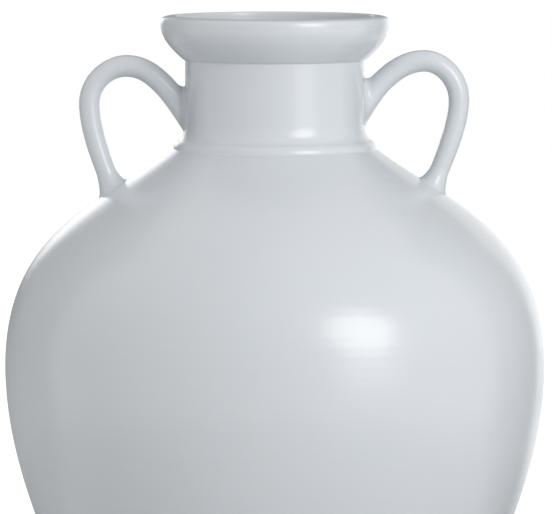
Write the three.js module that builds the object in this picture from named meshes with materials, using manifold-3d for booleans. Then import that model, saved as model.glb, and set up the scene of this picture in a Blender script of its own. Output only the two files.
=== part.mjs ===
// A two-handled ceramic vase, built the way a potter builds it: a turned foot ring, a thrown
// lower body and shoulder that meet at the belly, a thrown neck with its collar, a flared cup
// rim, and two pulled handles. Every thrown section sits on the one below it, over a register
// ridge. Lengths are in millimetres, +Z is up, and the origin is the centre of the foot's
// underside. The handles lie on the X axis, and the vase is seen from the -Y side.

import * as THREE from 'three';
import { mergeVertices } from 'three/addons/utils/BufferGeometryUtils.js';
import Module from 'manifold-3d';

// Stacked heights of the thrown sections.
const footHeight = 8;
const lowerHeight = 218;
const shoulderHeight = 142.5;
const neckHeight = 60;
const rimHeight = 28.5;

// Foot ring.
const footRadius = 104;
const footWidth = 15;
const footTaper = 2;
const footArris = 1;

// Lower body: a wall that leaves the foot at an angle and stands upright at the belly.
const bellyRadius = 178;
const bodyWall = 7;
const floorThickness = 9;
const floorFillet = 12;
const lowerFlareAngle = 22;
const lowerFootReach = 44;
const lowerBellyReach = 87;

// Shoulder: a dome that falls away from the collar and stands upright at the belly.
const shoulderFall = 36;
const shoulderTopReach = 60;
const shoulderBellyReach = 88.5;
const shoulderLedge = 1;
const flangeOverhang = 6;

// Neck: a straight cylinder on a collar with a rounded bead.
const neckRadius = 59;
const neckWall = 7;
const beadProjection = 7.7;
const beadRounding = 5.8;
const beadHeight = 1.2;
const beadArris = 1;
const collarFillet = 9;

// Rim: a cup that flares from the top of the neck and ends in a rounded lip.
const rimRadius = 75.2;
const rimWall = 9.5;
const rimCrease = 1.6;
const rimFlareAngle = 41;
const rimFootReach = 11.7;
const rimSideReach = 10.6;
const rimFloor = 4;
const lipHeight = 3.4;
const lipEdge = 1.2;

// Register ridges between the sections, and the clearance round each ridge and handle root.
const ridgeWidth = 2.5;
const ridgeHeight = 2;
const clearance = 0.3;

// Handles: the section of the pulled strap at the neck, how much thinner it is at the shoulder,
// how it spreads at its two roots, and how far its raw ends run on into the neck and shoulder.
const strapThickness = 15;
const strapTaper = 2.2;
const strapDepth = 15.5;
const neckSpread = 3;
const neckSpreadDepth = 9;
const neckSpreadLength = 17;
const shoulderSpread = 7;
const shoulderSpreadDepth = 8;
const shoulderSpreadLength = 14.5;
const neckEmbed = 14;
const shoulderEmbed = 6;

// Each handle was bent by hand, so the two differ a little. Distances out are measured from the
// surface of the neck, and drops from the top of the neck, to the middle of the strap.
const leftHandle = {
  side: -1,
  rootDrop: 34.5,
  rootAngle: 53,
  rootReach: 25.5,
  crownOut: 38.8,
  crownDrop: 4.7,
  crownInnerReach: 13.9,
  crownOuterReach: 11.3,
  elbowOut: 63,
  elbowDrop: 29.5,
  elbowUpperReach: 15.2,
  elbowLowerReach: 18.3,
  landingOut: 47.8,
  landingAngle: 21,
  landingReach: 14.5,
};
const rightHandle = {
  side: 1,
  rootDrop: 29.3,
  rootAngle: 55,
  rootReach: 18.9,
  crownOut: 39.3,
  crownDrop: 1.4,
  crownInnerReach: 15.4,
  crownOuterReach: 12.3,
  elbowOut: 62.3,
  elbowDrop: 26.8,
  elbowUpperReach: 13.3,
  elbowLowerReach: 18.7,
  landingOut: 45.2,
  landingAngle: 20.5,
  landingReach: 12.1,
};

// Facets round a turned piece, along its curves, and round and along a handle.
const turnedSides = 48;
const wallSteps = 9;
const arcSteps = 3;
const strapSides = 14;
const strapSteps = 28;

// Heights of the seats between the sections, from the surface the vase stands on.
const bellySeat = footHeight + lowerHeight;
const collarSeat = bellySeat + shoulderHeight;
const rimSeat = collarSeat + neckHeight;
const rimTop = rimSeat + rimHeight;

// Radii that two pieces share.
const neckBore = neckRadius - neckWall;
const beadRadius = neckRadius + beadProjection;
const shoulderTopRadius = beadRadius + shoulderLedge;
const shoulderMouth = neckBore + flangeOverhang;
const footRidge = footRadius - footWidth / 2;
const bellyRidge = bellyRadius - bodyWall / 2;
const collarRidge = (shoulderMouth + beadRadius) / 2;
const rimRidge = neckRadius - neckWall / 2;

const glaze = { color: 0xd3d7db, roughness: 0.38, metalness: 0 };
const bareClay = { color: 0xd2cec6, roughness: 0.85, metalness: 0 };

const wasm = await Module();
wasm.setup();

function point(radius, height) {
  return new THREE.Vector2(radius, height);
}

// A unit vector at an angle above the outward radius, in degrees.
function heading(degrees) {
  const angle = THREE.MathUtils.degToRad(degrees);
  return new THREE.Vector2(Math.cos(angle), Math.sin(angle));
}

// A smooth curve that leaves one point along a heading and arrives at another along a heading.
function sweep(start, startHeading, startReach, end, endHeading, endReach) {
  const startControl = start.clone().addScaledVector(startHeading, startReach);
  const endControl = end.clone().addScaledVector(endHeading, -endReach);
  return new THREE.CubicBezierCurve(start, startControl, endControl, end);
}

// Points on an elliptical arc, from one angle to another, in degrees, both ends included.
function arc(centre, radiusAcross, radiusUp, fromDegrees, toDegrees) {
  const points = [];
  for (let step = 0; step <= arcSteps; step += 1) {
    const way = heading(fromDegrees + (toDegrees - fromDegrees) * step / arcSteps);
    points.push(point(centre.x + radiusAcross * way.x, centre.y + radiusUp * way.y));
  }
  return points;
}

// A ridge on top of a seat, from its outer side to its inner side.
function ridgeProfile(radius, seat) {
  const outer = radius + ridgeWidth / 2;
  const inner = radius - ridgeWidth / 2;
  const top = seat + ridgeHeight;
  return [point(outer, seat), point(outer, top), point(inner, top), point(inner, seat)];
}

// The groove that takes the ridge, from its inner side to its outer side.
function grooveProfile(radius, seat) {
  const inner = radius - ridgeWidth / 2 - clearance;
  const outer = radius + ridgeWidth / 2 + clearance;
  const top = seat + ridgeHeight + clearance;
  return [point(inner, seat), point(inner, top), point(outer, top), point(outer, seat)];
}

// A turned solid from a profile that goes round its section with the clay on the left hand.
// A profile that starts off the axis is closed on itself.
function turned(profile) {
  const closed = profile[0].x > 0 ? [...profile, profile[0]] : profile;
  const geometry = new THREE.LatheGeometry(closed, turnedSides);
  geometry.rotateX(Math.PI / 2);
  return geometry;
}

function named(name, geometry, finish) {
  const mesh = new THREE.Mesh(geometry, new THREE.MeshStandardMaterial(finish));
  mesh.name = name;
  return mesh;
}

// The lower wall from foot to belly, moved inwards by an inset.
function lowerWall(inset) {
  const flare = heading(90 - lowerFlareAngle);
  const inward = point(-flare.y * inset, flare.x * inset);
  const start = point(footRadius, footHeight).add(inward);
  const end = point(bellyRadius - inset, bellySeat);
  return sweep(start, flare, lowerFootReach, end, heading(90), lowerBellyReach);
}

// The shoulder wall from belly to collar, moved inwards by an inset.
function shoulderWall(inset) {
  const rise = heading(180 - shoulderFall);
  const inward = point(-rise.y * inset, rise.x * inset);
  const start = point(bellyRadius - inset, bellySeat);
  const end = point(shoulderTopRadius, collarSeat).add(inward);
  return sweep(start, heading(90), shoulderBellyReach, end, rise, shoulderTopReach);
}

// The outside of the neck from its seat to its top, moved outwards by a margin.
function neckOutline(margin) {
  const beadCentre = point(beadRadius - beadRounding, collarSeat + beadHeight);
  const filletOut = neckRadius + collarFillet - beadCentre.x;
  const centreGap = collarFillet + beadRounding;
  const filletUp = Math.sqrt(centreGap * centreGap - filletOut * filletOut);
  const filletCentre = point(neckRadius + collarFillet, beadCentre.y + filletUp);
  const meeting = THREE.MathUtils.radToDeg(Math.atan2(filletUp, filletOut));
  const bead = beadRounding + margin;
  const fillet = collarFillet - margin;
  return [
    ...arc(beadCentre, bead, bead, 0, meeting),
    ...arc(filletCentre, fillet, fillet, 180 + meeting, 180).slice(1),
    point(neckRadius + margin, rimSeat),
  ];
}

function makeFootRing() {
  const outer = footRadius - footTaper;
  const inner = footRadius - footWidth;
  return turned([
    point(inner + footArris, 0),
    point(outer - footArris, 0),
    point(outer, footArris),
    point(footRadius, footHeight),
    ...ridgeProfile(footRidge, footHeight),
    point(inner, footHeight),
    point(inner, footArris),
  ]);
}

function makeLowerBody() {
  const floor = footHeight + floorThickness;
  const inside = lowerWall(bodyWall).getPoints(wallSteps).filter((p) => p.y > floor + floorFillet);
  const foot = inside[0];
  const drop = foot.y - floor;
  const corner = point(foot.x - drop * Math.tan(THREE.MathUtils.degToRad(lowerFlareAngle)), floor);
  const fillet = new THREE.QuadraticBezierCurve(foot, corner, point(corner.x - floorFillet, floor));
  return turned([
    point(0, footHeight),
    ...grooveProfile(footRidge, footHeight),
    ...lowerWall(0).getPoints(wallSteps),
    ...ridgeProfile(bellyRidge, bellySeat),
    ...inside.reverse(),
    ...fillet.getPoints(arcSteps).slice(1),
    point(0, floor),
  ]);
}

function makeShoulder() {
  return turned([
    ...grooveProfile(bellyRidge, bellySeat),
    ...shoulderWall(0).getPoints(wallSteps),
    ...ridgeProfile(collarRidge, collarSeat),
    point(shoulderMouth, collarSeat),
    ...shoulderWall(bodyWall).getPoints(wallSteps).reverse(),
  ]);
}

function makeNeck() {
  const arrisCentre = point(beadRadius - beadArris, collarSeat + beadArris);
  return turned([
    point(neckBore, collarSeat),
    ...grooveProfile(collarRidge, collarSeat),
    ...arc(arrisCentre, beadArris, beadArris, -90, 0),
    ...neckOutline(0),
    ...ridgeProfile(rimRidge, rimSeat),
    point(neckBore, rimSeat),
  ]);
}

function makeRim() {
  const widest = rimTop - lipHeight;
  const inner = rimRadius - rimWall;
  const flare = heading(rimFlareAngle);
  const outside = sweep(
    point(neckRadius + rimCrease, rimSeat), flare, rimFootReach,
    point(rimRadius, widest), heading(90), rimSideReach,
  );
  const inside = sweep(
    point(neckBore, rimSeat + rimFloor), flare, rimFootReach,
    point(inner, widest), heading(90), rimSideReach,
  );
  return turned([
    point(neckBore, rimSeat),
    ...grooveProfile(rimRidge, rimSeat),
    ...outside.getPoints(wallSteps),
    ...arc(point(inner + lipEdge, widest), rimWall - lipEdge, lipHeight, 0, 90).slice(1),
    ...arc(point(inner + lipEdge, rimTop - lipEdge), lipEdge, lipEdge, 90, 180).slice(1),
    ...inside.getPoints(wallSteps).reverse(),
  ]);
}

// The height of the shoulder's outer surface at a radius.
function shoulderHeightAt(radius) {
  const points = shoulderWall(0).getPoints(wallSteps);
  const upper = points.findIndex((p, index) => index > 0 && p.x <= radius);
  const above = points[upper];
  const below = points[upper - 1];
  return above.y + (below.y - above.y) * (radius - above.x) / (below.x - above.x);
}

// The middle line of a handle, as radius and height, with a straight end set into each root.
function handlePath(shape) {
  const root = point(neckRadius, rimSeat - shape.rootDrop);
  const crown = point(neckRadius + shape.crownOut, rimSeat - shape.crownDrop);
  const elbow = point(neckRadius + shape.elbowOut, rimSeat - shape.elbowDrop);
  const landingRadius = neckRadius + shape.landingOut;
  const landing = point(landingRadius, shoulderHeightAt(landingRadius));
  const leave = heading(shape.rootAngle);
  const down = heading(-90);
  const arrive = heading(-90 - shape.landingAngle);
  const path = new THREE.CurvePath();
  path.add(new THREE.LineCurve(root.clone().addScaledVector(leave, -neckEmbed), root));
  path.add(sweep(root, leave, shape.rootReach, crown, heading(0), shape.crownInnerReach));
  path.add(sweep(crown, heading(0), shape.crownOuterReach, elbow, down, shape.elbowUpperReach));
  path.add(sweep(elbow, down, shape.elbowLowerReach, landing, arrive, shape.landingReach));
  path.add(new THREE.LineCurve(landing, landing.clone().addScaledVector(arrive, shoulderEmbed)));
  return path;
}

// How far a root's spread has grown at a distance along the strap from that root.
function spreadAt(distance, length) {
  const share = THREE.MathUtils.clamp(1 - distance / length, 0, 1);
  return share * share;
}

// Vertices and triangles of a strap swept along a handle's middle line, closed at both ends.
function strapMesh(shape) {
  const path = handlePath(shape);
  const length = path.getLength();
  const positions = [];
  const triangles = [];
  for (let step = 0; step <= strapSteps; step += 1) {
    const share = step / strapSteps;
    const centre = path.getPointAt(share);
    const tangent = path.getTangentAt(share);
    const travelled = share * length - neckEmbed;
    const remaining = (1 - share) * length - shoulderEmbed;
    const nearNeck = spreadAt(travelled, neckSpreadLength);
    const nearShoulder = spreadAt(remaining, shoulderSpreadLength);
    const pulled = strapThickness - strapTaper * share;
    const halfThickness = (pulled + neckSpread * nearNeck + shoulderSpread * nearShoulder) / 2;
    const halfDepth = (strapDepth + neckSpreadDepth * nearNeck + shoulderSpreadDepth * nearShoulder) / 2;
    for (let side = 0; side < strapSides; side += 1) {
      const around = heading(360 * side / strapSides);
      const out = halfThickness * around.x;
      positions.push(
        shape.side * (centre.x - tangent.y * out),
        shape.side * halfDepth * around.y,
        centre.y + tangent.x * out,
      );
      const next = (side + 1) % strapSides;
      const here = step * strapSides;
      if (step < strapSteps) {
        triangles.push(here + side, here + strapSides + side, here + next);
        triangles.push(here + next, here + strapSides + side, here + strapSides + next);
      }
    }
  }
  const last = strapSteps * strapSides;
  for (let side = 1; side < strapSides - 1; side += 1) {
    triangles.push(0, side, side + 1);
    triangles.push(last, last + side + 1, last + side);
  }
  return { positions, triangles };
}

function solidFrom(positions, triangles) {
  const mesh = new wasm.Mesh({
    numProp: 3,
    vertProperties: new Float32Array(positions),
    triVerts: new Uint32Array(triangles),
  });
  return new wasm.Manifold(mesh);
}

function solidFromGeometry(geometry) {
  geometry.deleteAttribute('normal');
  geometry.deleteAttribute('uv');
  const merged = mergeVertices(geometry);
  return solidFrom(merged.attributes.position.array, merged.index.array);
}

function geometryFrom(solid) {
  const mesh = solid.getMesh();
  const geometry = new THREE.BufferGeometry();
  geometry.setAttribute('position', new THREE.BufferAttribute(mesh.vertProperties, 3));
  geometry.setIndex(new THREE.BufferAttribute(mesh.triVerts, 1));
  geometry.computeVertexNormals();
  return geometry;
}

// The neck and the shoulder grown by the clearance, which trim a handle's two roots to fit.
function rootTrimmers() {
  const core = neckBore / 2;
  const neck = turned([
    point(core, collarSeat),
    point(beadRadius + clearance, collarSeat),
    ...neckOutline(clearance),
    point(core, rimSeat),
  ]);
  const shoulder = turned([
    point(core, bellySeat),
    ...shoulderWall(-clearance).getPoints(wallSteps),
    point(core, collarSeat),
  ]);
  return [solidFromGeometry(neck), solidFromGeometry(shoulder)];
}

function makeHandle(shape, trimmers) {
  const strap = strapMesh(shape);
  let solid = solidFrom(strap.positions, strap.triangles);
  for (const trimmer of trimmers) {
    solid = solid.subtract(trimmer);
  }
  return geometryFrom(solid);
}

function makeVase() {
  const vase = new THREE.Group();
  const trimmers = rootTrimmers();
  vase.add(named('foot_ring', makeFootRing(), bareClay));
  vase.add(named('lower_body', makeLowerBody(), glaze));
  vase.add(named('shoulder', makeShoulder(), glaze));
  vase.add(named('neck', makeNeck(), glaze));
  vase.add(named('rim', makeRim(), glaze));
  vase.add(named('handle_left', makeHandle(leftHandle, trimmers), glaze));
  vase.add(named('handle_right', makeHandle(rightHandle, trimmers), glaze));
  return vase;
}

export default makeVase();
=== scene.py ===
"""Looks of a two-handled satin ceramic vase, in metres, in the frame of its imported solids.

Each thrown section and each handle is a class that holds its sizes, draws its shape and
dresses it. The thrown sections are turned by one Geometry Nodes tree, and the handles are
swept by another. The studio gives a white background, a soft key light from the right and
the camera of the photograph.
"""

import logging
import math
from dataclasses import dataclass, field
from enum import Enum

import bpy
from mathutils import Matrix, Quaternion, Vector


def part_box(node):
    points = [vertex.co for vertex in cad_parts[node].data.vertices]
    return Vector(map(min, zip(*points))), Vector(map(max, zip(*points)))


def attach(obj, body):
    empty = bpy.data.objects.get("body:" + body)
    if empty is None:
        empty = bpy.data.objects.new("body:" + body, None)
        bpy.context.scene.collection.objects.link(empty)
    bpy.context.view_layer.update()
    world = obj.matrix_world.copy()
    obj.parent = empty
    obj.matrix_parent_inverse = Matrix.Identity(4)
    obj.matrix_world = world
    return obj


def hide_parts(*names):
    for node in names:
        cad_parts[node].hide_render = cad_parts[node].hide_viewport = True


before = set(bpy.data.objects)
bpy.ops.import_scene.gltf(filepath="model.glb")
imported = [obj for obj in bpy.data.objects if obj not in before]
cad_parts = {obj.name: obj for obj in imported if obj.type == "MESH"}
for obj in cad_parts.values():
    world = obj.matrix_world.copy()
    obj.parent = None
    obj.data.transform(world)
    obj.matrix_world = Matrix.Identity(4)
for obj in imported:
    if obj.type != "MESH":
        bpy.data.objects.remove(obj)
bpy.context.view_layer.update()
BODY = "root"
TURNING_SIDES = 192
MERGE_DISTANCE = 1e-6
SHARP_ANGLE = math.radians(28)
# Point attribute of painted shade, which darkens the glaze in creases.
CREASE_SHADE = "crease"
LOG = logging.getLogger("vase")

Point = tuple[float, float]
Colour = tuple[float, float, float, float]
Socket = bpy.types.NodeSocket
WHITE: Colour = (1.0, 1.0, 1.0, 1.0)
SOCKET_KINDS = {int: "NodeSocketInt", float: "NodeSocketFloat", type(None): "NodeSocketMaterial"}


class Slot(Enum):
    """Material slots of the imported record."""

    GLAZED = "glazed_body"
    BARE = "bare_clay"


def heading(degrees: float) -> Point:
    """Unit vector at an angle above the outward radius."""
    angle = math.radians(degrees)
    return math.cos(angle), math.sin(angle)


OUTWARD, UP, INWARD, DOWN = heading(0), heading(90), heading(180), heading(-90)


def moved(start: Point, way: Point, distance: float) -> Point:
    """Point a distance along a way from a start."""
    return start[0] + way[0] * distance, start[1] + way[1] * distance


def bezier(start: Point, leave: Point, leave_reach: float,
           end: Point, arrive: Point, arrive_reach: float, steps: int) -> list[Point]:
    """Points on a smooth curve that leaves and arrives along given ways.

    Args:
        start: first point.
        leave: unit vector along which the curve leaves it.
        leave_reach: how strongly it holds that way.
        end: last point.
        arrive: unit vector along which the curve arrives.
        arrive_reach: how strongly it holds that way.
        steps: spans along the curve.

    Returns:
        The points, both ends included.
    """
    first = moved(start, leave, leave_reach)
    second = moved(end, arrive, -arrive_reach)
    points = []
    for step in range(steps + 1):
        t = step / steps
        shares = ((1 - t) ** 3, 3 * t * (1 - t) ** 2, 3 * t * t * (1 - t), t ** 3)
        corners = (start, first, second, end)
        points.append((
            sum(share * corner[0] for share, corner in zip(shares, corners)),
            sum(share * corner[1] for share, corner in zip(shares, corners)),
        ))
    points[0] = start
    points[-1] = end
    return points


def arc(centre: Point, across: float, up: float,
        start: float, end: float, steps: int) -> list[Point]:
    """Points on an elliptical arc.

    Args:
        centre: its centre.
        across: its radius along the vase's radius.
        up: its radius along the height.
        start: first angle, in degrees.
        end: last angle, in degrees.
        steps: spans along the arc.

    Returns:
        The points, both ends included.
    """
    points = []
    for step in range(steps + 1):
        way = heading(start + (end - start) * step / steps)
        points.append((centre[0] + across * way[0], centre[1] + up * way[1]))
    return points


@dataclass
class Ridge:
    """Register ridge between two thrown sections, and the groove that takes it."""

    width: float = 0.0025
    height: float = 0.002
    clearance: float = 0.0003

    def raised(self, radius: float, seat: float) -> list[Point]:
        """Ridge on a seat, from its outer side to its inner side."""
        outer, inner, top = radius + self.width / 2, radius - self.width / 2, seat + self.height
        return [(outer, seat), (outer, top), (inner, top), (inner, seat)]

    def groove(self, radius: float, seat: float) -> list[Point]:
        """Groove over a ridge, from its inner side to its outer side.

        Args:
            radius: middle radius of the groove.
            seat: height of the seat.

        Returns:
            Its corners.
        """
        half = self.width / 2 + self.clearance
        inner, outer, top = radius - half, radius + half, seat + self.height + self.clearance
        return [(inner, seat), (inner, top), (outer, top), (outer, seat)]


class Nodes:
    """Small helper that adds and links nodes in one tree."""

    def __init__(self, tree: bpy.types.NodeTree) -> None:
        """Keeps the tree.

        Args:
            tree: the tree to build in.
        """
        self.tree = tree

    def add(self, kind: str, inputs: dict | None = None, **settings: object) -> bpy.types.Node:
        """Adds one node.

        Args:
            kind: Blender's type name of the node.
            inputs: values or output sockets for its inputs, by name or number.
            **settings: properties of the node.

        Returns:
            The new node.
        """
        node = self.tree.nodes.new(kind)
        for name, value in settings.items():
            setattr(node, name, value)
        for key, value in (inputs or {}).items():
            socket = node.inputs[key]
            if isinstance(value, Socket):
                self.tree.links.new(value, socket)
            else:
                socket.default_value = value
        return node

    def math(self, operation: str, *values: object, clamp: bool = False) -> Socket:
        """Adds a Math node, whose result can be kept from 0 to 1."""
        inputs = dict(enumerate(values))
        return self.add("ShaderNodeMath", inputs, operation=operation, use_clamp=clamp).outputs[0]

    def vector(self, operation: str, *values: object) -> Socket:
        """Adds a Vector Math node with a vector as its result."""
        keys = (0, "Scale") if operation == "SCALE" else range(len(values))
        node = self.add("ShaderNodeVectorMath", dict(zip(keys, values)), operation=operation)
        return node.outputs["Vector"]

    def link(self, output: Socket, target: Socket) -> None:
        """Links an output to an input."""
        self.tree.links.new(output, target)

    def place(self) -> Socket:
        """Adds the object's own coordinates."""
        return self.add("ShaderNodeTexCoord").outputs["Object"]

    def noise(self, place: Socket, scale: object, detail: float, roughness: float = 0.5) -> Socket:
        """Adds a Noise Texture with a value from 0 to 1."""
        inputs = {"Vector": place, "Scale": scale, "Detail": detail, "Roughness": roughness}
        return self.add("ShaderNodeTexNoise", inputs).outputs[0]

    def bump(self, relief: Socket) -> Socket:
        """Adds a Bump node for a relief in metres."""
        inputs = {"Strength": 1.0, "Distance": 1.0, "Height": relief}
        return self.add("ShaderNodeBump", inputs).outputs[0]

    def combine(self, x: object = 0.0, y: object = 0.0, z: object = 0.0) -> Socket:
        """Joins three numbers or sockets into a vector."""
        return self.add("ShaderNodeCombineXYZ", {0: x, 1: y, 2: z}).outputs[0]

    def separate(self, vector: Socket) -> bpy.types.bpy_prop_collection:
        """Splits a vector into its three outputs."""
        return self.add("ShaderNodeSeparateXYZ", {0: vector}).outputs

    def between(self, share: Socket, first: object, second: object) -> Socket:
        """Mixes a share of the second colour into the first."""
        inputs = {"Factor": share, "A": first, "B": second}
        return self.add("ShaderNodeMix", inputs, data_type="RGBA").outputs["Result"]

    def ramp(self, value: Socket, start: Point, end: Point, kind: str = "LINEAR") -> Socket:
        """Adds a Map Range node.

        Args:
            value: what it reads.
            start: value at which it starts, and its result there.
            end: value at which it ends, and its result there.
            kind: Blender's name of the interpolation.

        Returns:
            Its result.
        """
        inputs = {
            "Value": value, "From Min": start[0], "From Max": end[0],
            "To Min": start[1], "To Max": end[1],
        }
        return self.add("ShaderNodeMapRange", inputs, interpolation_type=kind).outputs[0]

    def sample(self, geometry: Socket, value: Socket, kind: str, index: Socket) -> Socket:
        """Reads a field of the given data type at one numbered point of a geometry."""
        inputs = {"Geometry": geometry, "Value": value, "Index": index}
        node = self.add("GeometryNodeSampleIndex", inputs, data_type=kind, domain="POINT")
        return node.outputs[0]

    def store_crease_shade(self, mesh: Socket, value: Socket) -> Socket:
        """Stores how much painted shade darkens each point of a mesh, in its creases."""
        inputs = {"Geometry": mesh, "Name": CREASE_SHADE, "Value": value}
        node = self.add(
            "GeometryNodeStoreNamedAttribute", inputs, data_type="FLOAT", domain="POINT",
        )
        return node.outputs[0]


def new_finish(name: str) -> tuple[bpy.types.Material, Nodes, bpy.types.bpy_prop_collection]:
    """Starts a material.

    Args:
        name: its name.

    Returns:
        The material, the helper of its tree and its shader's inputs.
    """
    made = bpy.data.materials.new(name)
    made.use_nodes = True
    tree = made.node_tree
    return made, Nodes(tree), tree.nodes["Principled BSDF"].inputs


def geometry_tree(name: str, sizes: dict[str, object]) -> tuple[Nodes, dict[str, Socket]]:
    """Starts a Geometry Nodes tree with named inputs.

    Args:
        name: name of the tree.
        sizes: default value of each named input, which is None for a material.

    Returns:
        The node helper, and the group's input sockets by name.
    """
    tree = bpy.data.node_groups.new(name, "GeometryNodeTree")
    tree.interface.new_socket("Geometry", in_out="INPUT", socket_type="NodeSocketGeometry")
    for label, default in sizes.items():
        kind = SOCKET_KINDS[type(default)]
        socket = tree.interface.new_socket(label, in_out="INPUT", socket_type=kind)
        if default is not None:
            socket.default_value = default
    tree.interface.new_socket("Geometry", in_out="OUTPUT", socket_type="NodeSocketGeometry")
    nodes = Nodes(tree)
    inputs = nodes.add("NodeGroupInput").outputs
    return nodes, {socket.name: socket for socket in inputs if socket.name}


def finish_tree(nodes: Nodes, mesh: Socket, material: Socket) -> None:
    """Closes, shades and dresses the mesh at the end of a tree.

    Args:
        nodes: the tree's helper.
        mesh: the mesh so far.
        material: the finish.
    """
    inputs = {"Geometry": mesh, "Distance": MERGE_DISTANCE}
    merged = nodes.add("GeometryNodeMergeByDistance", inputs)
    smooth = nodes.add("GeometryNodeSetShadeSmooth", {0: merged.outputs[0], "Shade Smooth": True})
    angle = nodes.add("GeometryNodeInputMeshEdgeAngle").outputs["Unsigned Angle"]
    sharp = nodes.math("GREATER_THAN", angle, SHARP_ANGLE)
    edges = {0: smooth.outputs[0], "Selection": sharp, "Shade Smooth": False}
    creased = nodes.add("GeometryNodeSetShadeSmooth", edges, domain="EDGE")
    real = nodes.add("GeometryNodeRealizeInstances", {0: creased.outputs[0]})
    dressed = nodes.add("GeometryNodeSetMaterial", {0: real.outputs[0], "Material": material})
    output = nodes.add("NodeGroupOutput")
    nodes.link(dressed.outputs[0], output.inputs[0])


def grid_of(nodes: Nodes, across: object, along: object) -> tuple:
    """Adds a grid whose points are numbered along first, then across.

    Args:
        nodes: the tree's helper.
        across: number of points round the piece.
        along: number of points along its profile or path.

    Returns:
        The grid, the point's number across and its number along.
    """
    inputs = {"Size X": 1.0, "Size Y": 1.0, "Vertices X": across, "Vertices Y": along}
    grid = nodes.add("GeometryNodeMeshGrid", inputs)
    index = nodes.add("GeometryNodeInputIndex").outputs[0]
    number_across = nodes.math("FLOOR", nodes.math("DIVIDE", nodes.math("ADD", index, 0.5), along))
    number_along = nodes.math("SUBTRACT", index, nodes.math("MULTIPLY", number_across, along))
    return grid.outputs["Mesh"], number_across, number_along


def turned_angle(nodes: Nodes, side: Socket, sides: Socket) -> Socket:
    """Angle of a numbered point round a piece, where the last point meets the first."""
    turn = nodes.math("MULTIPLY", nodes.math("MODULO", side, sides), math.tau)
    return nodes.math("DIVIDE", turn, sides)


def turning_tree() -> bpy.types.NodeTree:
    """Builds the tree that turns a profile into a round section.

    Returns:
        The tree. Its geometry is a line of points in the XZ plane, whose crease attribute
        says where painted shade darkens the glaze.
    """
    nodes, sizes = geometry_tree("turned_section", {
        "Sides": TURNING_SIDES,
        "Undulation": 0.0,
        "Undulation Scale": 9.0,
        "Finish": None,
    })
    profile = sizes["Geometry"]
    size = nodes.add("GeometryNodeAttributeDomainSize", {0: profile}, component="MESH")
    count = size.outputs["Point Count"]
    grid, side, row = grid_of(nodes, nodes.math("ADD", sizes["Sides"], 1), count)
    place = nodes.add("GeometryNodeInputPosition").outputs[0]
    spot = nodes.separate(nodes.sample(profile, place, "FLOAT_VECTOR", row))
    # Carries the painted crease shade from the profile to each point round it.
    crease = nodes.add("GeometryNodeInputNamedAttribute", {"Name": CREASE_SHADE}, data_type="FLOAT")
    crease_shade = nodes.sample(profile, crease.outputs[0], "FLOAT", row)
    angle = turned_angle(nodes, side, sizes["Sides"])
    round_spot = nodes.combine(
        nodes.math("MULTIPLY", spot[0], nodes.math("COSINE", angle)),
        nodes.math("MULTIPLY", spot[0], nodes.math("SINE", angle)),
        spot[2],
    )
    noise = nodes.noise(round_spot, sizes["Undulation Scale"], detail=2.0)
    shrink = nodes.math("SUBTRACT", 1.0, nodes.math("MULTIPLY", noise, sizes["Undulation"]))
    final = nodes.vector("MULTIPLY", round_spot, nodes.combine(shrink, shrink, 1.0))
    placed = nodes.add("GeometryNodeSetPosition", {"Geometry": grid, "Position": final}).outputs[0]
    finish_tree(nodes, nodes.store_crease_shade(placed, crease_shade), sizes["Finish"])
    return nodes.tree


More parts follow.
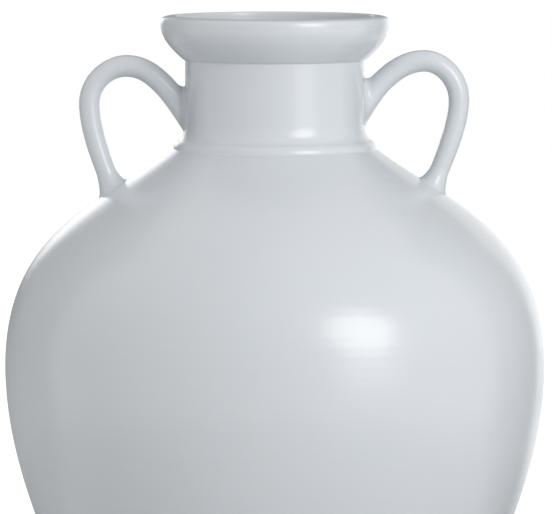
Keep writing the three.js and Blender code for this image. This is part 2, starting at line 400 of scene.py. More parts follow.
def strap_tree() -> bpy.types.NodeTree:
    """Builds the tree that sweeps a handle's strap along its middle line.

    Returns:
        The tree. Its geometry is a line of points in the XZ plane, on the +X side, from
        inside the neck to inside the shoulder. Side -1 turns the strap to the other side.
    """
    nodes, sizes = geometry_tree("pulled_strap", {
        "Side": 1.0,
        "Rings": 210,
        "Sides": 56,
        "Thickness": 0.015,
        "Taper": 0.0022,
        "Depth": 0.0155,
        "Neck Embed": 0.005,
        "Neck Spread": 0.003,
        "Neck Spread Depth": 0.0045,
        "Neck Spread Length": 0.017,
        "Shoulder Embed": 0.0035,
        "Shoulder Spread": 0.007,
        "Shoulder Spread Depth": 0.008,
        "Shoulder Spread Length": 0.0145,
        "Seating Length": 0.012,
        "Neck Radius": 0.059,
        "Landing Radius": 0.107,
        "Landing Height": 0.342,
        "Shoulder Fall": 0.6,
        "Web Reach": 0.005,
        "Web Height": 0.0036,
        "Cheek Reach": 0.0048,
        "Cheek": 0.003,
        "Shade Band Width": 0.0026,
        "Shade Band Depth": 1.0,
        "Fillet": 0.0016,
        "Fillet Share": 0.6,
        "Shoulder Crease": 0.002,
        "Lumps": 0.0005,
        "Lump Scale": 45.0,
        "Finish": None,
    })
    line = nodes.add("GeometryNodeMeshToCurve", {0: sizes["Geometry"]}).outputs[0]
    inputs = {"Curve": line, "Count": sizes["Rings"]}
    path = nodes.add("GeometryNodeResampleCurve", inputs).outputs[0]
    rows = nodes.math("ADD", sizes["Rings"], 2)
    grid, side, row = grid_of(nodes, nodes.math("ADD", sizes["Sides"], 1), rows)
    last = nodes.math("SUBTRACT", sizes["Rings"], 1)
    ring = nodes.math("MINIMUM", nodes.math("MAXIMUM", nodes.math("SUBTRACT", row, 1), 0), last)

    def near(distance: Socket, reach: str, power: float) -> Socket:
        """Share that falls, by a power, from 1 at a root to 0 at the named reach from it."""
        way = nodes.math("DIVIDE", distance, sizes[reach])
        return nodes.math("POWER", nodes.math("SUBTRACT", 1.0, way, clamp=True), power)

    position = nodes.add("GeometryNodeInputPosition").outputs[0]
    direction = nodes.add("GeometryNodeInputTangent").outputs[0]
    spline_length = nodes.add("GeometryNodeSplineParameter").outputs["Length"]
    centre = nodes.sample(path, position, "FLOAT_VECTOR", ring)
    tangent = nodes.sample(path, direction, "FLOAT_VECTOR", ring)
    length = nodes.sample(path, spline_length, "FLOAT", ring)
    whole = nodes.sample(path, spline_length, "FLOAT", last)
    travelled = nodes.math("SUBTRACT", length, sizes["Neck Embed"])
    to_end = nodes.math("SUBTRACT", whole, length)
    remaining = nodes.math("SUBTRACT", to_end, sizes["Shoulder Embed"])
    at_neck = near(travelled, "Neck Spread Length", power=2.0)
    at_shoulder = near(remaining, "Shoulder Spread Length", power=2.0)
    pulled = nodes.math("MULTIPLY", sizes["Taper"], nodes.math("DIVIDE", length, whole))
    thickness = nodes.math("SUBTRACT", sizes["Thickness"], pulled)
    thickness = nodes.math("MULTIPLY_ADD", at_neck, sizes["Neck Spread"], thickness)
    thickness = nodes.math("MULTIPLY_ADD", at_shoulder, sizes["Shoulder Spread"], thickness)
    depth = nodes.math("MULTIPLY_ADD", at_neck, sizes["Neck Spread Depth"], sizes["Depth"])
    depth = nodes.math("MULTIPLY_ADD", at_shoulder, sizes["Shoulder Spread Depth"], depth)
    sided = nodes.vector("SCALE", centre, sizes["Side"])
    lump = nodes.noise(sided, sizes["Lump Scale"], detail=1.0)
    lumps = nodes.math("MULTIPLY", nodes.math("SUBTRACT", lump, 0.5), sizes["Lumps"])
    thickness = nodes.math("ADD", thickness, lumps)

    ahead = nodes.separate(tangent)
    square_on = nodes.combine(nodes.math("MULTIPLY", ahead[2], -1.0), 0.0, ahead[0])
    upright = nodes.combine(z=1.0)
    downhill = nodes.combine(
        x=nodes.math("COSINE", sizes["Shoulder Fall"]),
        z=nodes.math("MULTIPLY", nodes.math("SINE", sizes["Shoulder Fall"]), -1.0),
    )
    seat_neck = near(travelled, "Seating Length", power=1.0)
    seat_shoulder = near(remaining, "Seating Length", power=1.0)
    raised = nodes.vector("SUBTRACT", upright, square_on)
    dropped = nodes.vector("SUBTRACT", downhill, square_on)
    lean = nodes.vector("ADD",
                        nodes.vector("SCALE", raised, seat_neck),
                        nodes.vector("SCALE", dropped, seat_shoulder))
    outward = nodes.vector("NORMALIZE", nodes.vector("ADD", square_on, lean))
    aligned = nodes.add("ShaderNodeVectorMath", {0: outward, 1: square_on}, operation="DOT_PRODUCT")
    skew = nodes.math("MULTIPLY", aligned.outputs["Value"], 2.0)
    angle = turned_angle(nodes, side, sizes["Sides"])
    cosine, sine = nodes.math("COSINE", angle), nodes.math("SINE", angle)
    half_out = nodes.math("DIVIDE", nodes.math("MULTIPLY", cosine, thickness), skew)
    half_deep = nodes.math("MULTIPLY", sine, nodes.math("DIVIDE", depth, 2.0))
    out_of_plane = nodes.combine(y=half_deep)
    offset = nodes.vector("ADD", nodes.vector("SCALE", outward, half_out), out_of_plane)
    spot = nodes.separate(nodes.vector("ADD", centre, offset))
    squares = nodes.math("MULTIPLY_ADD", spot[0], spot[0], nodes.math("MULTIPLY", spot[1], spot[1]))
    radius = nodes.math("SQRT", squares)
    off_neck = nodes.math("MAXIMUM", nodes.math("SUBTRACT", radius, sizes["Neck Radius"]), 0.0)
    out = nodes.math("SUBTRACT", radius, sizes["Landing Radius"])
    rise = nodes.math("SUBTRACT", spot[2], sizes["Landing Height"])
    above = nodes.math("MULTIPLY_ADD", out, nodes.math("TANGENT", sizes["Shoulder Fall"]), rise)
    off_shoulder = nodes.math("MULTIPLY", above, nodes.math("COSINE", sizes["Shoulder Fall"]))
    off_shoulder = nodes.math("MAXIMUM", off_shoulder, 0.0)
    web = nodes.math("MULTIPLY", near(off_neck, "Web Reach", power=1.5), sizes["Web Height"])
    on_top = nodes.math("MULTIPLY", cosine, 1.0, clamp=True)
    cheek = nodes.math("MULTIPLY", near(off_neck, "Cheek Reach", power=2.0), sizes["Cheek"])
    lift = nodes.combine(
        y=nodes.math("MULTIPLY", cheek, sine),
        z=nodes.math("MULTIPLY", web, on_top),
    )
    fillets = (near(distance, "Fillet", power=2.0) for distance in (off_neck, off_shoulder))
    joined = nodes.math("ADD", *fillets)
    full_flare = nodes.math("MULTIPLY", sizes["Fillet"], sizes["Fillet Share"])
    flare = nodes.math("MULTIPLY", joined, full_flare)
    push = nodes.vector("SCALE", nodes.vector("NORMALIZE", offset), flare)
    grown = nodes.vector("ADD", nodes.vector("ADD", offset, lift), push)
    inside = nodes.math("MULTIPLY",
                        nodes.math("GREATER_THAN", row, 0.5),
                        nodes.math("LESS_THAN", row, nodes.math("ADD", sizes["Rings"], 0.5)))
    spread = nodes.vector("ADD", centre, nodes.vector("SCALE", grown, inside))
    final = nodes.vector("MULTIPLY", spread, nodes.combine(sizes["Side"], 1.0, 1.0))
    placed = nodes.add("GeometryNodeSetPosition", {"Geometry": grid, "Position": final}).outputs[0]
    inverted = nodes.math("GREATER_THAN", sizes["Side"], 0.0)
    turned = nodes.add("GeometryNodeFlipFaces", {"Mesh": placed, "Selection": inverted}).outputs[0]
    # Painted shade: a dark band along the strap beside the neck, and a fading share where it meets
    # the shoulder.
    off_shade_band = nodes.math("ABSOLUTE", nodes.math("SUBTRACT", off_neck, sizes["Shade Band Width"]))
    at_shade_band = near(off_shade_band, "Shade Band Width", power=1.0)
    shade_band = nodes.math("MULTIPLY", at_shade_band, sizes["Shade Band Depth"])
    crease_shade = nodes.math("MAXIMUM", shade_band, near(off_shoulder, "Shoulder Crease", power=1.0))
    finish_tree(nodes, nodes.store_crease_shade(turned, crease_shade), sizes["Finish"])
    return nodes.tree


def new_object(name: str, data: bpy.types.ID) -> bpy.types.Object:
    """Makes an object in the scene."""
    made = bpy.data.objects.new(name, data)
    bpy.context.scene.collection.objects.link(made)
    return made


def line_object(name: str, points: list[Vector],
                creases: list[float] | None = None) -> bpy.types.Object:
    """Makes an object that is a line of points, for a tree to work on.

    Args:
        name: name of the piece.
        points: the points in order.
        creases: painted crease shade of each point.

    Returns:
        The object, in the scene.
    """
    mesh = bpy.data.meshes.new(name)
    mesh.from_pydata(points, [(i, i + 1) for i in range(len(points) - 1)], [])
    if creases is not None:
        attribute = mesh.attributes.new(CREASE_SHADE, "FLOAT", "POINT")
        attribute.data.foreach_set("value", creases)
    return new_object(name, mesh)


def shaped(piece: bpy.types.Object, tree: bpy.types.NodeTree,
           values: dict[str, object]) -> bpy.types.Object:
    """Runs a tree on a piece and keeps the result as its plain mesh.

    Args:
        piece: the object that holds the line.
        tree: the tree to run.
        values: values of the tree's named inputs.

    Returns:
        The same object, with its final mesh and no modifier.
    """
    modifier = piece.modifiers.new("shape", "NODES")
    modifier.node_group = tree
    for item in tree.interface.items_tree:
        if item.item_type == "SOCKET" and item.in_out == "INPUT" and item.name in values:
            modifier[item.identifier] = values[item.name]
    bpy.context.view_layer.update()
    evaluated = piece.evaluated_get(bpy.context.evaluated_depsgraph_get())
    mesh = bpy.data.meshes.new_from_object(evaluated)
    piece.modifiers.clear()
    line = piece.data
    piece.data = mesh
    bpy.data.meshes.remove(line)
    mesh.name = piece.name
    return piece


@dataclass(frozen=True)
class SatinGlaze:
    """Pale blue-grey satin glaze, with painted shade that darkens it in creases."""

    pale: Colour = (0.66, 0.69, 0.723, 1.0)
    deep: Colour = (0.625, 0.66, 0.69, 1.0)
    crease_shade_colour: Colour = (0.40, 0.43, 0.45, 1.0)
    crease_shade_share: float = 0.05
    ior: float = 1.5
    cloud_scale: float = 7.0
    cloud_roughness: float = 0.55
    cloud_contrast: float = 2.0
    cloud_offset: float = -0.5
    roughness: float = 0.24
    roughness_swing: float = 0.05
    roughness_scale: float = 38.0
    ring_pitch: float = 0.0065
    ring_depth: float = 0.000012
    ring_waver: float = 5.0
    waver_scale: float = 14.0
    grain_scale: float = 900.0
    grain_depth: float = 0.00002

    def material(self, name: str) -> bpy.types.Material:
        """Builds the finish.

        Args:
            name: name of the material.

        Returns:
            The material.
        """
        made, nodes, shader = new_finish(name)
        shader["IOR"].default_value = self.ior
        place = nodes.place()
        cloud = nodes.noise(place, self.cloud_scale, detail=3.0, roughness=self.cloud_roughness)
        share = nodes.math(
            "MULTIPLY_ADD", cloud, self.cloud_contrast, self.cloud_offset, clamp=True,
        )
        tint = nodes.between(share, self.pale, self.deep)
        # Painted shade: the crease attribute mixes a darker colour into the glaze in creases and
        # joins.
        crease = nodes.add("ShaderNodeAttribute", attribute_name=CREASE_SHADE).outputs["Fac"]
        crease_shade = nodes.math("MULTIPLY", crease, self.crease_shade_share)
        nodes.link(nodes.between(crease_shade, tint, self.crease_shade_colour), shader["Base Color"])
        wide = nodes.noise(place, self.roughness_scale, detail=4.0)
        swing = self.roughness_swing
        gloss = nodes.math("MULTIPLY_ADD", wide, 2 * swing, self.roughness - swing)
        nodes.link(gloss, shader["Roughness"])
        turns = nodes.math("MULTIPLY", nodes.separate(place)[2], math.tau / self.ring_pitch)
        waver = nodes.noise(place, self.waver_scale, detail=2.0)
        rings = nodes.math("SINE", nodes.math("MULTIPLY_ADD", waver, self.ring_waver, turns))
        grain = nodes.noise(place, self.grain_scale, detail=3.0)
        grit = nodes.math("MULTIPLY", grain, self.grain_depth)
        relief = nodes.math("MULTIPLY_ADD", rings, self.ring_depth, grit)
        nodes.link(nodes.bump(relief), shader["Normal"])
        return made


@dataclass(frozen=True)
class BareClay:
    """Unglazed fired clay of the foot, with grog and a little shelf wear at its edge."""

    clay: Colour = (0.60, 0.575, 0.53, 1.0)
    worn: Colour = (0.47, 0.445, 0.40, 1.0)
    roughness: float = 0.85
    grog_scale: float = 650.0
    grog_depth: float = 0.00012
    wear_height: float = 0.003
    wear_contrast: float = 2.0
    wear_offset: float = -0.4

    def material(self, name: str) -> bpy.types.Material:
        """Builds the finish.

        Args:
            name: name of the material.

        Returns:
            The material.
        """
        made, nodes, shader = new_finish(name)
        shader["Roughness"].default_value = self.roughness
        place = nodes.place()
        grog = nodes.noise(place, self.grog_scale, detail=5.0)
        rise = nodes.math("DIVIDE", nodes.separate(place)[2], self.wear_height)
        low = nodes.math("SUBTRACT", 1.0, rise, clamp=True)
        patches = nodes.math("MULTIPLY_ADD", grog, self.wear_contrast, self.wear_offset, clamp=True)
        wear = nodes.math("MULTIPLY", low, patches)
        nodes.link(nodes.between(wear, self.clay, self.worn), shader["Base Color"])
        nodes.link(nodes.bump(nodes.math("MULTIPLY", grog, self.grog_depth)), shader["Normal"])
        return made


@dataclass
class Workshop:
    """What every piece is made with: the two trees and the two finishes."""

    turning: bpy.types.NodeTree = field(default_factory=turning_tree)
    pulling: bpy.types.NodeTree = field(default_factory=strap_tree)
    ridge: Ridge = field(default_factory=Ridge)
    undulation: float = 0.0012
    finishes: dict[Slot, bpy.types.Material] = field(default_factory=dict)

    def __post_init__(self) -> None:
        """Mixes the finishes."""
        self.finishes[Slot.GLAZED] = SatinGlaze().material("satin_glaze")
        self.finishes[Slot.BARE] = BareClay().material("bare_clay")

    def turn(self, name: str, profile: list[Point], slot: Slot, creases: tuple[Point, ...] = (),
             crease_reach: float = 0.0012) -> bpy.types.Object:
        """Turns a section on the wheel.

        Args:
            name: name of the piece.
            profile: its profile, with the clay on the left hand.
            slot: its material slot.
            creases: points on the profile where painted shade darkens the glaze.
            crease_reach: how far round each of them the painted shade reaches.

        Returns:
            The finished piece.
        """
        closed = profile if profile[0][0] == 0 else [*profile, profile[0]]
        # Painted shade fades with the distance from each crease point.
        depth = [
            max([0.0, *(1 - math.dist(point, crease) / crease_reach for crease in creases)])
            for point in closed
        ]
        piece = line_object(name, [Vector((r, 0, z)) for r, z in closed], depth)
        shaped(piece, self.turning, {"Undulation": self.undulation, "Finish": self.finishes[slot]})
        return piece


def hand_in(piece: bpy.types.Object, node: str) -> None:
    """Lets a piece stand for its solid and ride on the vase.

    Args:
        piece: the finished piece.
        node: the solid that it stands for.
    """
    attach(piece, BODY)
    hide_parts(node)
    LOG.info("%s: %d faces", piece.name, len(piece.data.polygons))


@dataclass
class Levels:
    """Heights and radii that the sections share, read from the frame."""

    foot_seat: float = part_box("lower_body")[0].z
    belly_seat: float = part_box("shoulder")[0].z
    collar_seat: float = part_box("neck")[0].z
    rim_seat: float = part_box("rim")[0].z
    top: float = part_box("rim")[1].z
    foot_radius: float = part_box("foot_ring")[1].x
    belly_radius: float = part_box("shoulder")[1].x
    bead_radius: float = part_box("neck")[1].x
    rim_radius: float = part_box("rim")[1].x
    bead_projection: float = 0.0077
    body_wall: float = 0.007
    neck_wall: float = 0.007
    flange_overhang: float = 0.006
    foot_width: float = 0.015

    @property
    def neck_radius(self) -> float:
        """Outer radius of the straight neck."""
        return self.bead_radius - self.bead_projection

    @property
    def neck_bore(self) -> float:
        """Inner radius of the neck."""
        return self.neck_radius - self.neck_wall

    @property
    def shoulder_mouth(self) -> float:
        """Radius of the shoulder's open mouth under the neck's flange."""
        return self.neck_bore + self.flange_overhang

    @property
    def foot_ridge(self) -> float:
        """Radius of the ridge on the foot ring."""
        return self.foot_radius - self.foot_width / 2

    @property
    def belly_ridge(self) -> float:
        """Radius of the ridge at the belly."""
        return self.belly_radius - self.body_wall / 2

    @property
    def collar_ridge(self) -> float:
        """Radius of the ridge under the collar."""
        return (self.shoulder_mouth + self.bead_radius) / 2

    @property
    def rim_ridge(self) -> float:
        """Radius of the ridge on the neck."""
        return self.neck_radius - self.neck_wall / 2


@dataclass
class FootRing:
    """Turned foot ring, the only unglazed part."""

    shop: Workshop
    levels: Levels
    taper: float = 0.002
    arris: float = 0.001
    arris_steps: int = 5

    def build(self) -> bpy.types.Object:
        """Builds the ring.

        Returns:
            The piece.
        """
        levels, arris = self.levels, self.arris
        outer = levels.foot_radius - self.taper
        inner = levels.foot_radius - levels.foot_width
        profile = [
            *arc((inner + arris, arris), arris, arris, 180, 270, self.arris_steps),
            *arc((outer - arris, arris), arris, arris, -90, 0, self.arris_steps),
            (levels.foot_radius, levels.foot_seat),
            *self.shop.ridge.raised(levels.foot_ridge, levels.foot_seat),
            (inner, levels.foot_seat),
        ]
        return self.shop.turn("foot_ring_turned", profile, Slot.BARE)


@dataclass
class LowerBody:
    """Floor and lower wall, thrown as one bowl up to the belly."""

    shop: Workshop
    levels: Levels
    floor_thickness: float = 0.009
    floor_fillet: float = 0.012
    flare: float = 22.0
    foot_reach: float = 0.044
    belly_reach: float = 0.087
    floor_rings: tuple[float, ...] = (0.75, 0.5, 0.25)
    under_rings: tuple[float, ...] = (0.3, 0.6, 0.9)
    fillet_steps: int = 8
    steps: int = 90

    def wall(self, inset: float) -> list[Point]:
        """Wall from foot to belly.

        Args:
            inset: how far inside the outer face.

        Returns:
            Its points.
        """
        way = heading(90 - self.flare)
        start = moved((self.levels.foot_radius, self.levels.foot_seat), (-way[1], way[0]), inset)
        end = (self.levels.belly_radius - inset, self.levels.belly_seat)
        return bezier(start, way, self.foot_reach, end, UP, self.belly_reach, self.steps)

    def build(self) -> bpy.types.Object:
        """Builds the bowl.

        Returns:
            The piece.
        """
        levels = self.levels
        floor = levels.foot_seat + self.floor_thickness
        inside = [p for p in self.wall(levels.body_wall) if p[1] > floor + self.floor_fillet]
        foot = inside[0]
        corner = (foot[0] - (foot[1] - floor) * math.tan(math.radians(self.flare)), floor)
        centre_side = (corner[0] - self.floor_fillet, floor)
        fillet = []
        for step in range(1, self.fillet_steps + 1):
            t = step / self.fillet_steps
            fillet.append(tuple(
                (1 - t) ** 2 * a + 2 * t * (1 - t) * b + t * t * c
                for a, b, c in zip(foot, corner, centre_side)
            ))
        rings = [(corner[0] * share, floor) for share in self.floor_rings]
        under = [(levels.foot_ridge * share, levels.foot_seat) for share in self.under_rings]
        profile = [
            (0.0, levels.foot_seat),
            *under,
            *self.shop.ridge.groove(levels.foot_ridge, levels.foot_seat),
            *self.wall(0.0),
            *self.shop.ridge.raised(levels.belly_ridge, levels.belly_seat),
            *reversed(inside),
            *fillet,
            *rings,
            (0.0, floor),
        ]
        # Painted shade darkens the glaze where the wall meets the foot ring.
        crease = (levels.foot_radius, levels.foot_seat)
        return self.shop.turn("lower_body_wall", profile, Slot.GLAZED, (crease,))


@dataclass
class Shoulder:
    """Upper body, thrown as an open dome."""

    shop: Workshop
    levels: Levels
    fall: float = 36.0
    top_reach: float = 0.060
    belly_reach: float = 0.0885
    ledge: float = 0.001
    steps: int = 90

    def wall(self, inset: float) -> list[Point]:
        """Wall from belly to collar.

        Args:
            inset: how far inside the outer face.

        Returns:
            Its points.
        """
        way = heading(180 - self.fall)
        start = (self.levels.belly_radius - inset, self.levels.belly_seat)
        top = (self.levels.bead_radius + self.ledge, self.levels.collar_seat)
        end = moved(top, (-way[1], way[0]), inset)
        return bezier(start, UP, self.belly_reach, end, way, self.top_reach, self.steps)

    def surface(self, radius: float) -> tuple[float, float]:
        """Outer surface at a radius.

        Args:
            radius: distance from the axis.

        Returns:
            Its height, and the angle at which it falls there.
        """
        points = self.wall(0.0)
        upper = next(i for i, p in enumerate(points) if i and p[0] <= radius)
        (r1, z1), (r2, z2) = points[upper - 1], points[upper]
        slope = (z2 - z1) / (r1 - r2)
        return z2 - slope * (radius - r2), math.atan(slope)

    def build(self) -> bpy.types.Object:
        """Builds the dome.

        Returns:
            The piece.
        """
        levels = self.levels
        outside = self.wall(0.0)
        profile = [
            *self.shop.ridge.groove(levels.belly_ridge, levels.belly_seat),
            *outside,
            *self.shop.ridge.raised(levels.collar_ridge, levels.collar_seat),
            (levels.shoulder_mouth, levels.collar_seat),
            *reversed(self.wall(levels.body_wall)),
        ]
        # Painted shade darkens the glaze at the top of the shoulder, under the bead.
        return self.shop.turn("shoulder_wall", profile, Slot.GLAZED, (outside[-1],))


@dataclass
class Neck:
    """Straight neck on a collar with a rounded bead."""

    shop: Workshop
    levels: Levels
    shoulder: Shoulder
    bead_rounding: float = 0.0058
    bead_height: float = 0.0012
    glaze_fillet: float = 0.0024
    glaze_overlap: float = 0.0004
    fillet: float = 0.009
    fillet_lift: float = 0.006
    fillet_foot: float = 0.0022
    fillet_reach: float = 0.009
    glaze_steps: int = 8
    bead_steps: int = 12
    fillet_steps: int = 24
    straight_steps: int = 24

    def corner_of_glaze(self) -> list[Point]:
        """Glaze that fills the corner under the bead.

        Returns:
            Its points, from under the shoulder's skin to the side of the bead.
        """
        bead, seat, reach = self.levels.bead_radius, self.levels.collar_seat, self.glaze_fillet
        height, fall = self.shoulder.surface(bead + reach)
        return [
            (bead - self.glaze_overlap, seat),
            (bead + reach, height - self.glaze_overlap),
            *bezier(
                (bead + reach, height), heading(180 - math.degrees(fall)), reach / 2,
                (bead, seat + self.bead_height), UP, self.bead_height / 2, self.glaze_steps,
            ),
        ]

    def build(self) -> bpy.types.Object:
        """Builds the neck.

        Returns:
            The piece.
        """
        levels = self.levels
        seat, top, radius = levels.collar_seat, levels.rim_seat, levels.neck_radius
        bead = (levels.bead_radius - self.bead_rounding, seat + self.bead_height)
        out = radius + self.fillet - bead[0]
        gap = self.fillet + self.bead_rounding
        up = math.sqrt(gap * gap - out * out)
        hollow = (radius + self.fillet, bead[1] + up)
        meeting = math.degrees(math.atan2(up, out))
        base = hollow[1] + self.fillet_lift
        straight = [
            (radius, base + (top - base) * step / self.straight_steps)
            for step in range(1, self.straight_steps + 1)
        ]
        side = arc(bead, self.bead_rounding, self.bead_rounding, 0, meeting, self.bead_steps)
        profile = [
            (levels.neck_bore, seat),
            *self.shop.ridge.groove(levels.collar_ridge, seat),
            *self.corner_of_glaze(),
            *side[1:],
            *bezier(
                side[-1], heading(90 + meeting), self.fillet_foot,
                (radius, base), UP, self.fillet_reach, self.fillet_steps,
            )[1:],
            *straight,
            *self.shop.ridge.raised(levels.rim_ridge, top),
            (levels.neck_bore, top),
        ]
        # Painted shade darkens the glaze under the bead and where the neck meets the rim.
        creases = ((levels.bead_radius, seat), (radius, top))
        return self.shop.turn("neck_wall", profile, Slot.GLAZED, creases)


@dataclass
class Rim:
    """Flared cup of the mouth, with a rounded lip."""

    shop: Workshop
    levels: Levels
    wall: float = 0.0095
    crease: float = 0.0016
    glaze_fillet: float = 0.0012
    glaze_overlap: float = 0.0004
    flare: float = 41.0
    foot_reach: float = 0.0117
    side_reach: float = 0.0106
    floor: float = 0.004
    lip_height: float = 0.0034
    lip_edge: float = 0.0012
    swell: float = 0.0052
    swell_rounding: float = 0.010
    swell_turn: float = 18.0
    swell_side_reach: float = 0.009
    lip_side_reach: float = 0.0013
    lip_top_reach: float = 0.0042
    glaze_steps: int = 8
    swell_steps: int = 10
    lip_steps: int = 14
    edge_steps: int = 5
    steps: int = 30

    def build(self) -> bpy.types.Object:
        """Builds the cup.

        Returns:
            The piece.
        """
        levels, glaze, round_off = self.levels, self.glaze_fillet, self.swell_rounding
        neck, seat, top = levels.neck_radius, levels.rim_seat, levels.top
        inner = levels.rim_radius - self.wall
        edge = inner + self.lip_edge
        way = heading(self.flare)
        foot = (neck + self.crease, seat)
        swell = (levels.rim_radius, top - self.swell)
        filled = bezier(
            (neck, seat - glaze), UP, glaze / 2, foot, way, glaze / 2, self.glaze_steps,
        )
        outside = bezier(
            foot, way, self.foot_reach, swell, UP, self.swell_side_reach, self.steps,
        )
        middle = moved(swell, INWARD, round_off)
        turn = arc(middle, round_off, round_off, 0, self.swell_turn, self.swell_steps)
        lip = bezier(
            turn[-1], heading(90 + self.swell_turn), self.lip_side_reach,
            (edge, top), INWARD, self.lip_top_reach, self.lip_steps,
        )
        inside = bezier(
            (levels.neck_bore, seat + self.floor), way, self.foot_reach,
            (inner, top - self.lip_height), UP, self.side_reach, self.steps,
        )
        corner = (edge, top - self.lip_edge)
        rounding = arc(corner, self.lip_edge, self.lip_edge, 90, 180, self.edge_steps)
        profile = [
            (levels.neck_bore, seat),
            *self.shop.ridge.groove(levels.rim_ridge, seat),
            (neck - self.glaze_overlap, seat),
            (neck - self.glaze_overlap, seat - glaze),
            *filled[:-1],
            *outside,
            *turn[1:],
            *lip[1:],
            *rounding[1:],
            *reversed(inside),
        ]
        # Painted shade darkens the glaze at the rim's foot, where it meets the neck.
        return self.shop.turn("rim_cup", profile, Slot.GLAZED, (foot,))


@dataclass
class Handle:
    """Strap pulled by hand and bent from the neck to the shoulder.

    Distances out are measured from the neck's surface, and drops from the neck's top, to the
    middle of the strap.
    """

    shop: Workshop
    levels: Levels
    shoulder: Shoulder
    side: int
    root_drop: float
    root_angle: float
    root_reach: float
    crown_out: float
    crown_drop: float
    crown_inner_reach: float
    crown_outer_reach: float
    elbow_out: float
    elbow_drop: float
    elbow_upper_reach: float
    elbow_lower_reach: float
    landing_out: float
    landing_angle: float
    landing_reach: float
    # Strength of the painted shade band on the strap beside the neck.
    shade_band_depth: float = 1.0
    neck_embed: float = 0.005
    shoulder_embed: float = 0.0035
    steps: int = 40

    def middle_line(self) -> tuple[list[Point], Point, float]:
        """Middle line from inside the neck to inside the shoulder.

        Returns:
            Its points, the landing point and the shoulder's fall there.
        """
        neck, top = self.levels.neck_radius, self.levels.rim_seat
        root = (neck, top - self.root_drop)
        crown = (neck + self.crown_out, top - self.crown_drop)
        elbow = (neck + self.elbow_out, top - self.elbow_drop)
        height, fall = self.shoulder.surface(neck + self.landing_out)
        landing = (neck + self.landing_out, height)
        leave = heading(self.root_angle)
        arrive = heading(-90 - self.landing_angle)
        points = [
            moved(root, leave, -self.neck_embed),
            *bezier(root, leave, self.root_reach, crown, OUTWARD,
                    self.crown_inner_reach, self.steps),
            *bezier(crown, OUTWARD, self.crown_outer_reach, elbow, DOWN,
                    self.elbow_upper_reach, self.steps)[1:],
            *bezier(elbow, DOWN, self.elbow_lower_reach, landing, arrive,
                    self.landing_reach, self.steps)[1:],
            moved(landing, arrive, self.shoulder_embed),
        ]
        return points, landing, fall

    def build(self, name: str) -> bpy.types.Object:
        """Pulls the strap.

        Args:
            name: name of the piece.

        Returns:
            The piece.
        """
        points, landing, fall = self.middle_line()
        piece = line_object(name, [Vector((r, 0, z)) for r, z in points])
        return shaped(piece, self.shop.pulling, {
            "Side": float(self.side),
            "Neck Embed": self.neck_embed,
            "Shoulder Embed": self.shoulder_embed,
            "Neck Radius": self.levels.neck_radius,
            "Landing Radius": landing[0],
            "Landing Height": landing[1],
            "Shoulder Fall": fall,
            "Shade Band Depth": self.shade_band_depth,
            "Finish": self.shop.finishes[Slot.GLAZED],
        })


@dataclass(frozen=True)
class SoftLamp:
    """Oval lamp, at degrees right of the camera and up, and rolled by degrees."""

    right: float
    up: float
    width: float
    height: float
    power: float
    roll: float = 0.0
    mirrored: bool = True


class Lamp(Enum):
    """Lamps of the studio. The one at the side isn't mirrored, so reflections don't show it."""

    KEY = SoftLamp(right=38.0, up=20.2, width=1.6, height=1.25, power=33.8, roll=-18.0)
    LOW = SoftLamp(right=38.5, up=1.5, width=1.6, height=0.8, power=5.8)
    SIDE = SoftLamp(right=-105.0, up=3.0, width=0.8, height=0.7, power=14.6, mirrored=False)
    BACK_LEFT = SoftLamp(right=-165.0, up=10.0, width=1.2, height=1.0, power=3.9)
    BACK_RIGHT = SoftLamp(right=161.0, up=2.0, width=1.4, height=0.8, power=1.05)


@dataclass(frozen=True)
class DarkCard:
    """Dark card that spans degrees right of the camera and degrees up.

    Its top fades out over a share of its height. Where its sheet covers more than 0, the card
    runs on over the floor, and covers that share at its lower edge.
    """

    first: float
    last: float
    low: float
    high: float
    fade: float = 0.01
    sheet: float = 0.0


class Card(Enum):
    """Dark cards of the studio, which only reflections meet."""

    LEFT = DarkCard(first=-150.0, last=-100.0, low=-17.0, high=50.0, sheet=0.75)
    LOW_LEFT = DarkCard(first=-178.0, last=-150.0, low=-17.0, high=9.0, fade=0.33, sheet=0.75)
    RIGHT = DarkCard(first=100.0, last=139.0, low=-17.0, high=50.0, sheet=1.0)
    ABOVE = DarkCard(first=138.0, last=211.0, low=22.0, high=50.0)
    BEHIND = DarkCard(first=168.0, last=192.0, low=9.5, high=22.0)


def bearing(right: float, reach: float) -> Point:
    """Point round the vase's axis, at degrees right of the camera and a distance."""
    angle = math.radians(right)
    return reach * math.sin(angle), -reach * math.cos(angle)


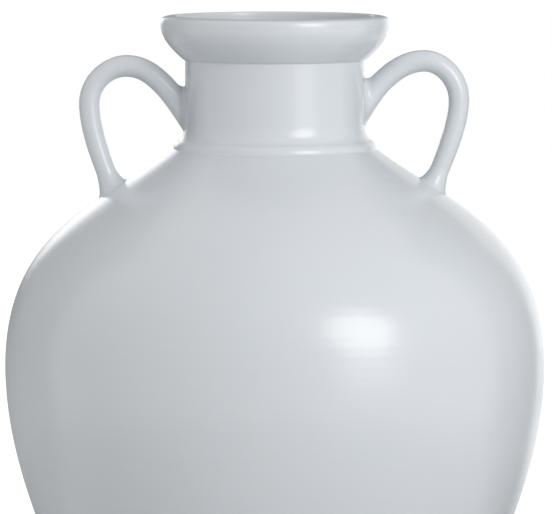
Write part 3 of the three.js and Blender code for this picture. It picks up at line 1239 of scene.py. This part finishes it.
@dataclass
class Studio:
    """White background, pale floor, soft lamps and the photograph's camera."""

    picture_width: float = 0.364
    aim_right: float = 0.0008
    aim_height: float = 0.2977
    eye_height: float = 0.63
    distance: float = 4.33
    sensor: float = 36.0
    view_end: float = 100.0
    floor_radius: float = 6.0
    floor_sides: int = 96
    floor_colour: Colour = (0.55, 0.55, 0.55, 1.0)
    floor_roughness: float = 0.9
    floor_glow: float = 0.25
    far_glow: float = 0.72
    fade_start: float = 0.65
    fade_end: float = 1.05
    lamp_distance: float = 3.0
    card_distance: float = 0.95
    sheet_end: float = 0.12
    foot_fade: float = 0.25
    card_colour: Colour = (0.12, 0.12, 0.12, 1.0)
    card_roughness: float = 1.0
    room_light: float = 0.65

    def camera(self) -> None:
        """Sets up the camera."""
        data = bpy.data.cameras.new("camera")
        camera = new_object("camera", data)
        camera.location = (self.aim_right, -self.distance, self.eye_height)
        aim = Vector((self.aim_right, 0.0, self.aim_height)) - camera.location
        camera.rotation_euler = aim.to_track_quat("-Z", "Y").to_euler()
        data.sensor_width = self.sensor
        data.lens = self.sensor * aim.length / self.picture_width
        data.clip_end = self.view_end
        bpy.context.scene.camera = camera

    def lamps(self) -> None:
        """Hangs the lamps, each turned to the middle of the vase."""
        middle = Vector((0.0, 0.0, self.aim_height))
        for lamp in Lamp:
            name, soft = lamp.name.lower(), lamp.value
            across, rise = heading(soft.up)
            way = Vector((*bearing(soft.right, across), rise))
            rolled = Quaternion((0.0, 0.0, 1.0), math.radians(soft.roll))
            data = bpy.data.lights.new(name, "AREA")
            data.shape = "ELLIPSE"
            data.size, data.size_y = soft.width, soft.height
            data.energy = soft.power
            light = new_object(name, data)
            light.location = middle + way * self.lamp_distance
            light.rotation_euler = (way.to_track_quat("Z", "Y") @ rolled).to_euler()
            light.visible_camera = False
            light.visible_glossy = soft.mirrored

    def cards(self) -> None:
        """Stands the dark cards, which draw the edges of the vase."""
        away = self.card_distance
        for card in Card:
            name, dark = card.name.lower(), card.value
            bottom, top = (
                self.aim_height + away * math.tan(math.radians(up)) for up in (dark.low, dark.high)
            )
            corners = [
                (*bearing(right, reach), height) for right, reach, height in (
                    (dark.first, away, top), (dark.last, away, top),
                    (dark.last, away, bottom), (dark.first, away, bottom),
                    (dark.first, self.sheet_end, bottom), (dark.last, self.sheet_end, bottom),
                )
            ]
            faces = [(0, 1, 2, 3), (3, 2, 5, 4)] if dark.sheet else [(0, 1, 2, 3)]
            mesh = bpy.data.meshes.new(name)
            mesh.from_pydata(corners if dark.sheet else corners[:4], [], faces)
            mesh.materials.append(self.card_paint(name, dark, bottom, top))
            board = new_object("card_" + name, mesh)
            board.visible_camera = False
            board.visible_diffuse = False
            board.visible_shadow = False
            board.visible_transmission = False

    def card_paint(self, name: str, dark: DarkCard,
                   bottom: float, top: float) -> bpy.types.Material:
        """Makes the dark paint of one card.

        Args:
            name: the card's name.
            dark: the card.
            bottom: height of its lower edge.
            top: height of its upper edge.

        Returns:
            The material.
        """
        made, nodes, shader = new_finish(name)
        shader["Base Color"].default_value = self.card_colour
        shader["Roughness"].default_value = self.card_roughness
        height = nodes.separate(nodes.place())[2]
        high = nodes.ramp(height, (top - dark.fade * (top - bottom), 1.0), (top, 0.0))
        low = nodes.ramp(height, (bottom, dark.sheet or 1.0), (bottom + self.foot_fade, 1.0))
        nodes.link(nodes.math("MINIMUM", high, low), shader["Alpha"])
        return made

    def room(self) -> None:
        """Lights the vase softly from all round, in a room that looks white."""
        world = bpy.data.worlds.new("room")
        world.use_nodes = True
        bpy.context.scene.world = world
        nodes = Nodes(world.node_tree)
        glow = world.node_tree.nodes["Background"]
        share = self.seen_directly(nodes)
        inputs = {"Factor": share, "A": self.room_light, "B": 1.0}
        white = nodes.add("ShaderNodeMix", inputs, data_type="FLOAT")
        nodes.link(white.outputs[0], glow.inputs["Strength"])
        glow.inputs["Color"].default_value = WHITE

    def seen_directly(self, nodes: Nodes) -> Socket:
        """Adds a test for rays that the camera or a reflection sends.

        Args:
            nodes: the tree's helper.

        Returns:
            1 for such rays, else 0.
        """
        ray = nodes.add("ShaderNodeLightPath").outputs
        either = nodes.math("MAXIMUM", ray["Is Camera Ray"], ray["Is Glossy Ray"])
        return nodes.math("MAXIMUM", either, ray["Is Transmission Ray"])

    def floor(self) -> None:
        """Lays the pale floor."""
        bpy.ops.mesh.primitive_circle_add(
            vertices=self.floor_sides, radius=self.floor_radius, fill_type="NGON",
        )
        ground = bpy.context.object
        ground.name = "floor"
        made, nodes, shader = new_finish("floor")
        shader["Base Color"].default_value = self.floor_colour
        shader["Roughness"].default_value = self.floor_roughness
        shader["Emission Color"].default_value = WHITE
        away = nodes.add("ShaderNodeVectorMath", {0: nodes.place()}, operation="LENGTH")
        start, end = (self.fade_start, self.floor_glow), (self.fade_end, self.far_glow)
        glow = nodes.ramp(away.outputs["Value"], start, end, "SMOOTHSTEP")
        strength = nodes.math("MULTIPLY", self.seen_directly(nodes), glow)
        nodes.link(strength, shader["Emission Strength"])
        ground.data.materials.append(made)

    def build(self) -> None:
        """Builds the studio."""
        bpy.context.scene.view_settings.view_transform = "Standard"
        self.camera()
        self.lamps()
        self.cards()
        self.room()
        self.floor()


def main() -> None:
    """Builds the studio and the vase."""
    logging.basicConfig(level=logging.INFO, format="%(name)s: %(message)s")
    Studio().build()
    shop, levels = Workshop(), Levels()
    shoulder = Shoulder(shop, levels)
    hand_in(FootRing(shop, levels).build(), "foot_ring")
    hand_in(LowerBody(shop, levels).build(), "lower_body")
    hand_in(shoulder.build(), "shoulder")
    hand_in(Neck(shop, levels, shoulder).build(), "neck")
    hand_in(Rim(shop, levels).build(), "rim")
    # The left strap's painted shade band beside the neck is much deeper, where shade falls on its
    # left side.
    left = Handle(
        shop, levels, shoulder, side=-1,
        root_drop=0.0345, root_angle=53, root_reach=0.0255,
        crown_out=0.0388, crown_drop=0.0047, crown_inner_reach=0.0139, crown_outer_reach=0.0113,
        elbow_out=0.063, elbow_drop=0.0295, elbow_upper_reach=0.0152, elbow_lower_reach=0.0183,
        landing_out=0.0478, landing_angle=21, landing_reach=0.0145, shade_band_depth=11.0,
    )
    right = Handle(
        shop, levels, shoulder, side=1,
        root_drop=0.0293, root_angle=55, root_reach=0.0189,
        crown_out=0.0393, crown_drop=0.0014, crown_inner_reach=0.0154, crown_outer_reach=0.0123,
        elbow_out=0.0623, elbow_drop=0.0268, elbow_upper_reach=0.0133, elbow_lower_reach=0.0187,
        landing_out=0.0452, landing_angle=20.5, landing_reach=0.0121,
    )
    hand_in(left.build("handle_left_strap"), "handle_left")
    hand_in(right.build("handle_right_strap"), "handle_right")


if __name__ == "__main__":
    main()
